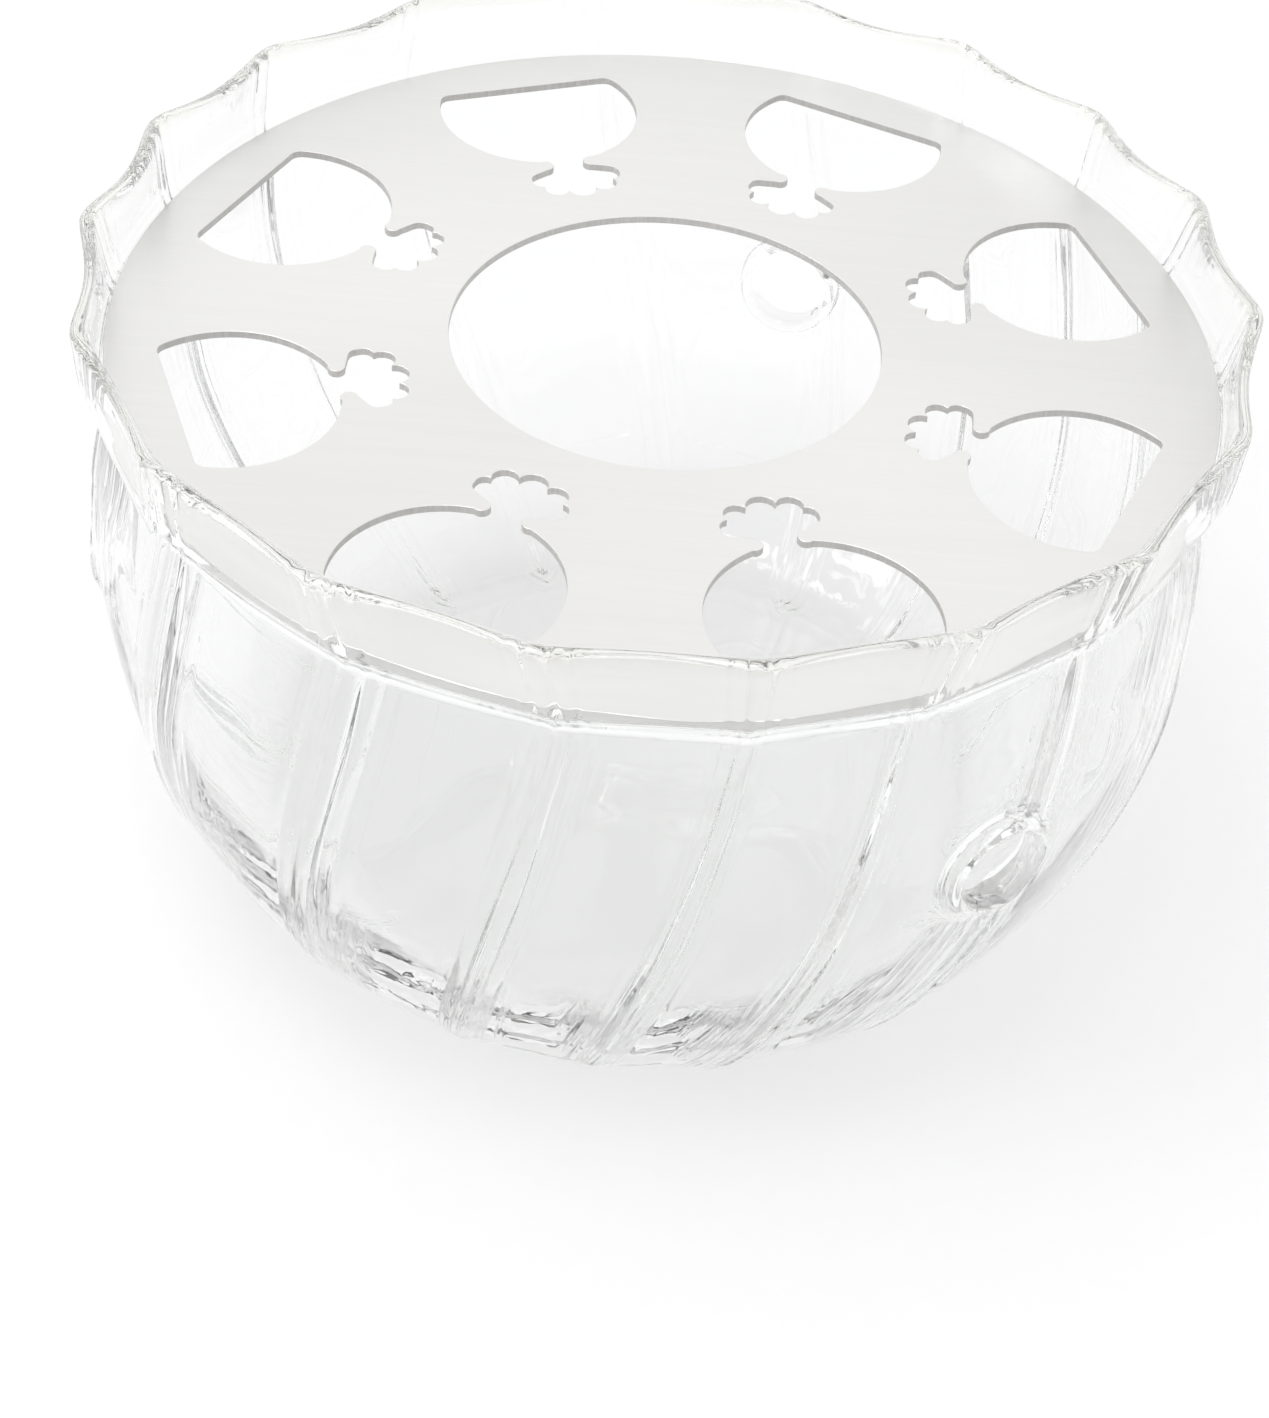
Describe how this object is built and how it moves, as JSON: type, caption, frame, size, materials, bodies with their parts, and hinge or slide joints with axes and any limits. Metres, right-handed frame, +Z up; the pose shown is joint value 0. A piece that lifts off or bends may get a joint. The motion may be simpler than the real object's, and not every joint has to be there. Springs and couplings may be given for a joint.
{
  "type": "teapot warmer",
  "caption": "Clear ribbed glass bowl with swirled ribs, round vents and a flared scalloped rim; a loose brushed steel plate with pomegranate cut-outs rests on its inner ledge.",
  "frame": {"origin": "centre of the bowl's flat foot, on the surface it stands on", "axes": "+Z up along the bowl's axis; -Y towards the viewer; a rib crest of the rim points along +X"},
  "size_m": [0.1208, 0.1192, 0.0733],
  "materials": {
    "clear_glass": "clear borosilicate glass, fire-polished, faint warm green at thick edges",
    "brushed_steel": "satin stainless sheet, finely brushed, laser-cut edges"
  },
  "bodies": {
    "bowl": {"glass_bowl": "clear_glass"},
    "plate": {"rest_plate": "brushed_steel"}
  },
  "joints": [
    {"name": "plate_lift", "type": "slide", "parent": "bowl", "child": "plate", "axis": [0, 0, 1], "range_m": [0, 0.03]}
  ]
}
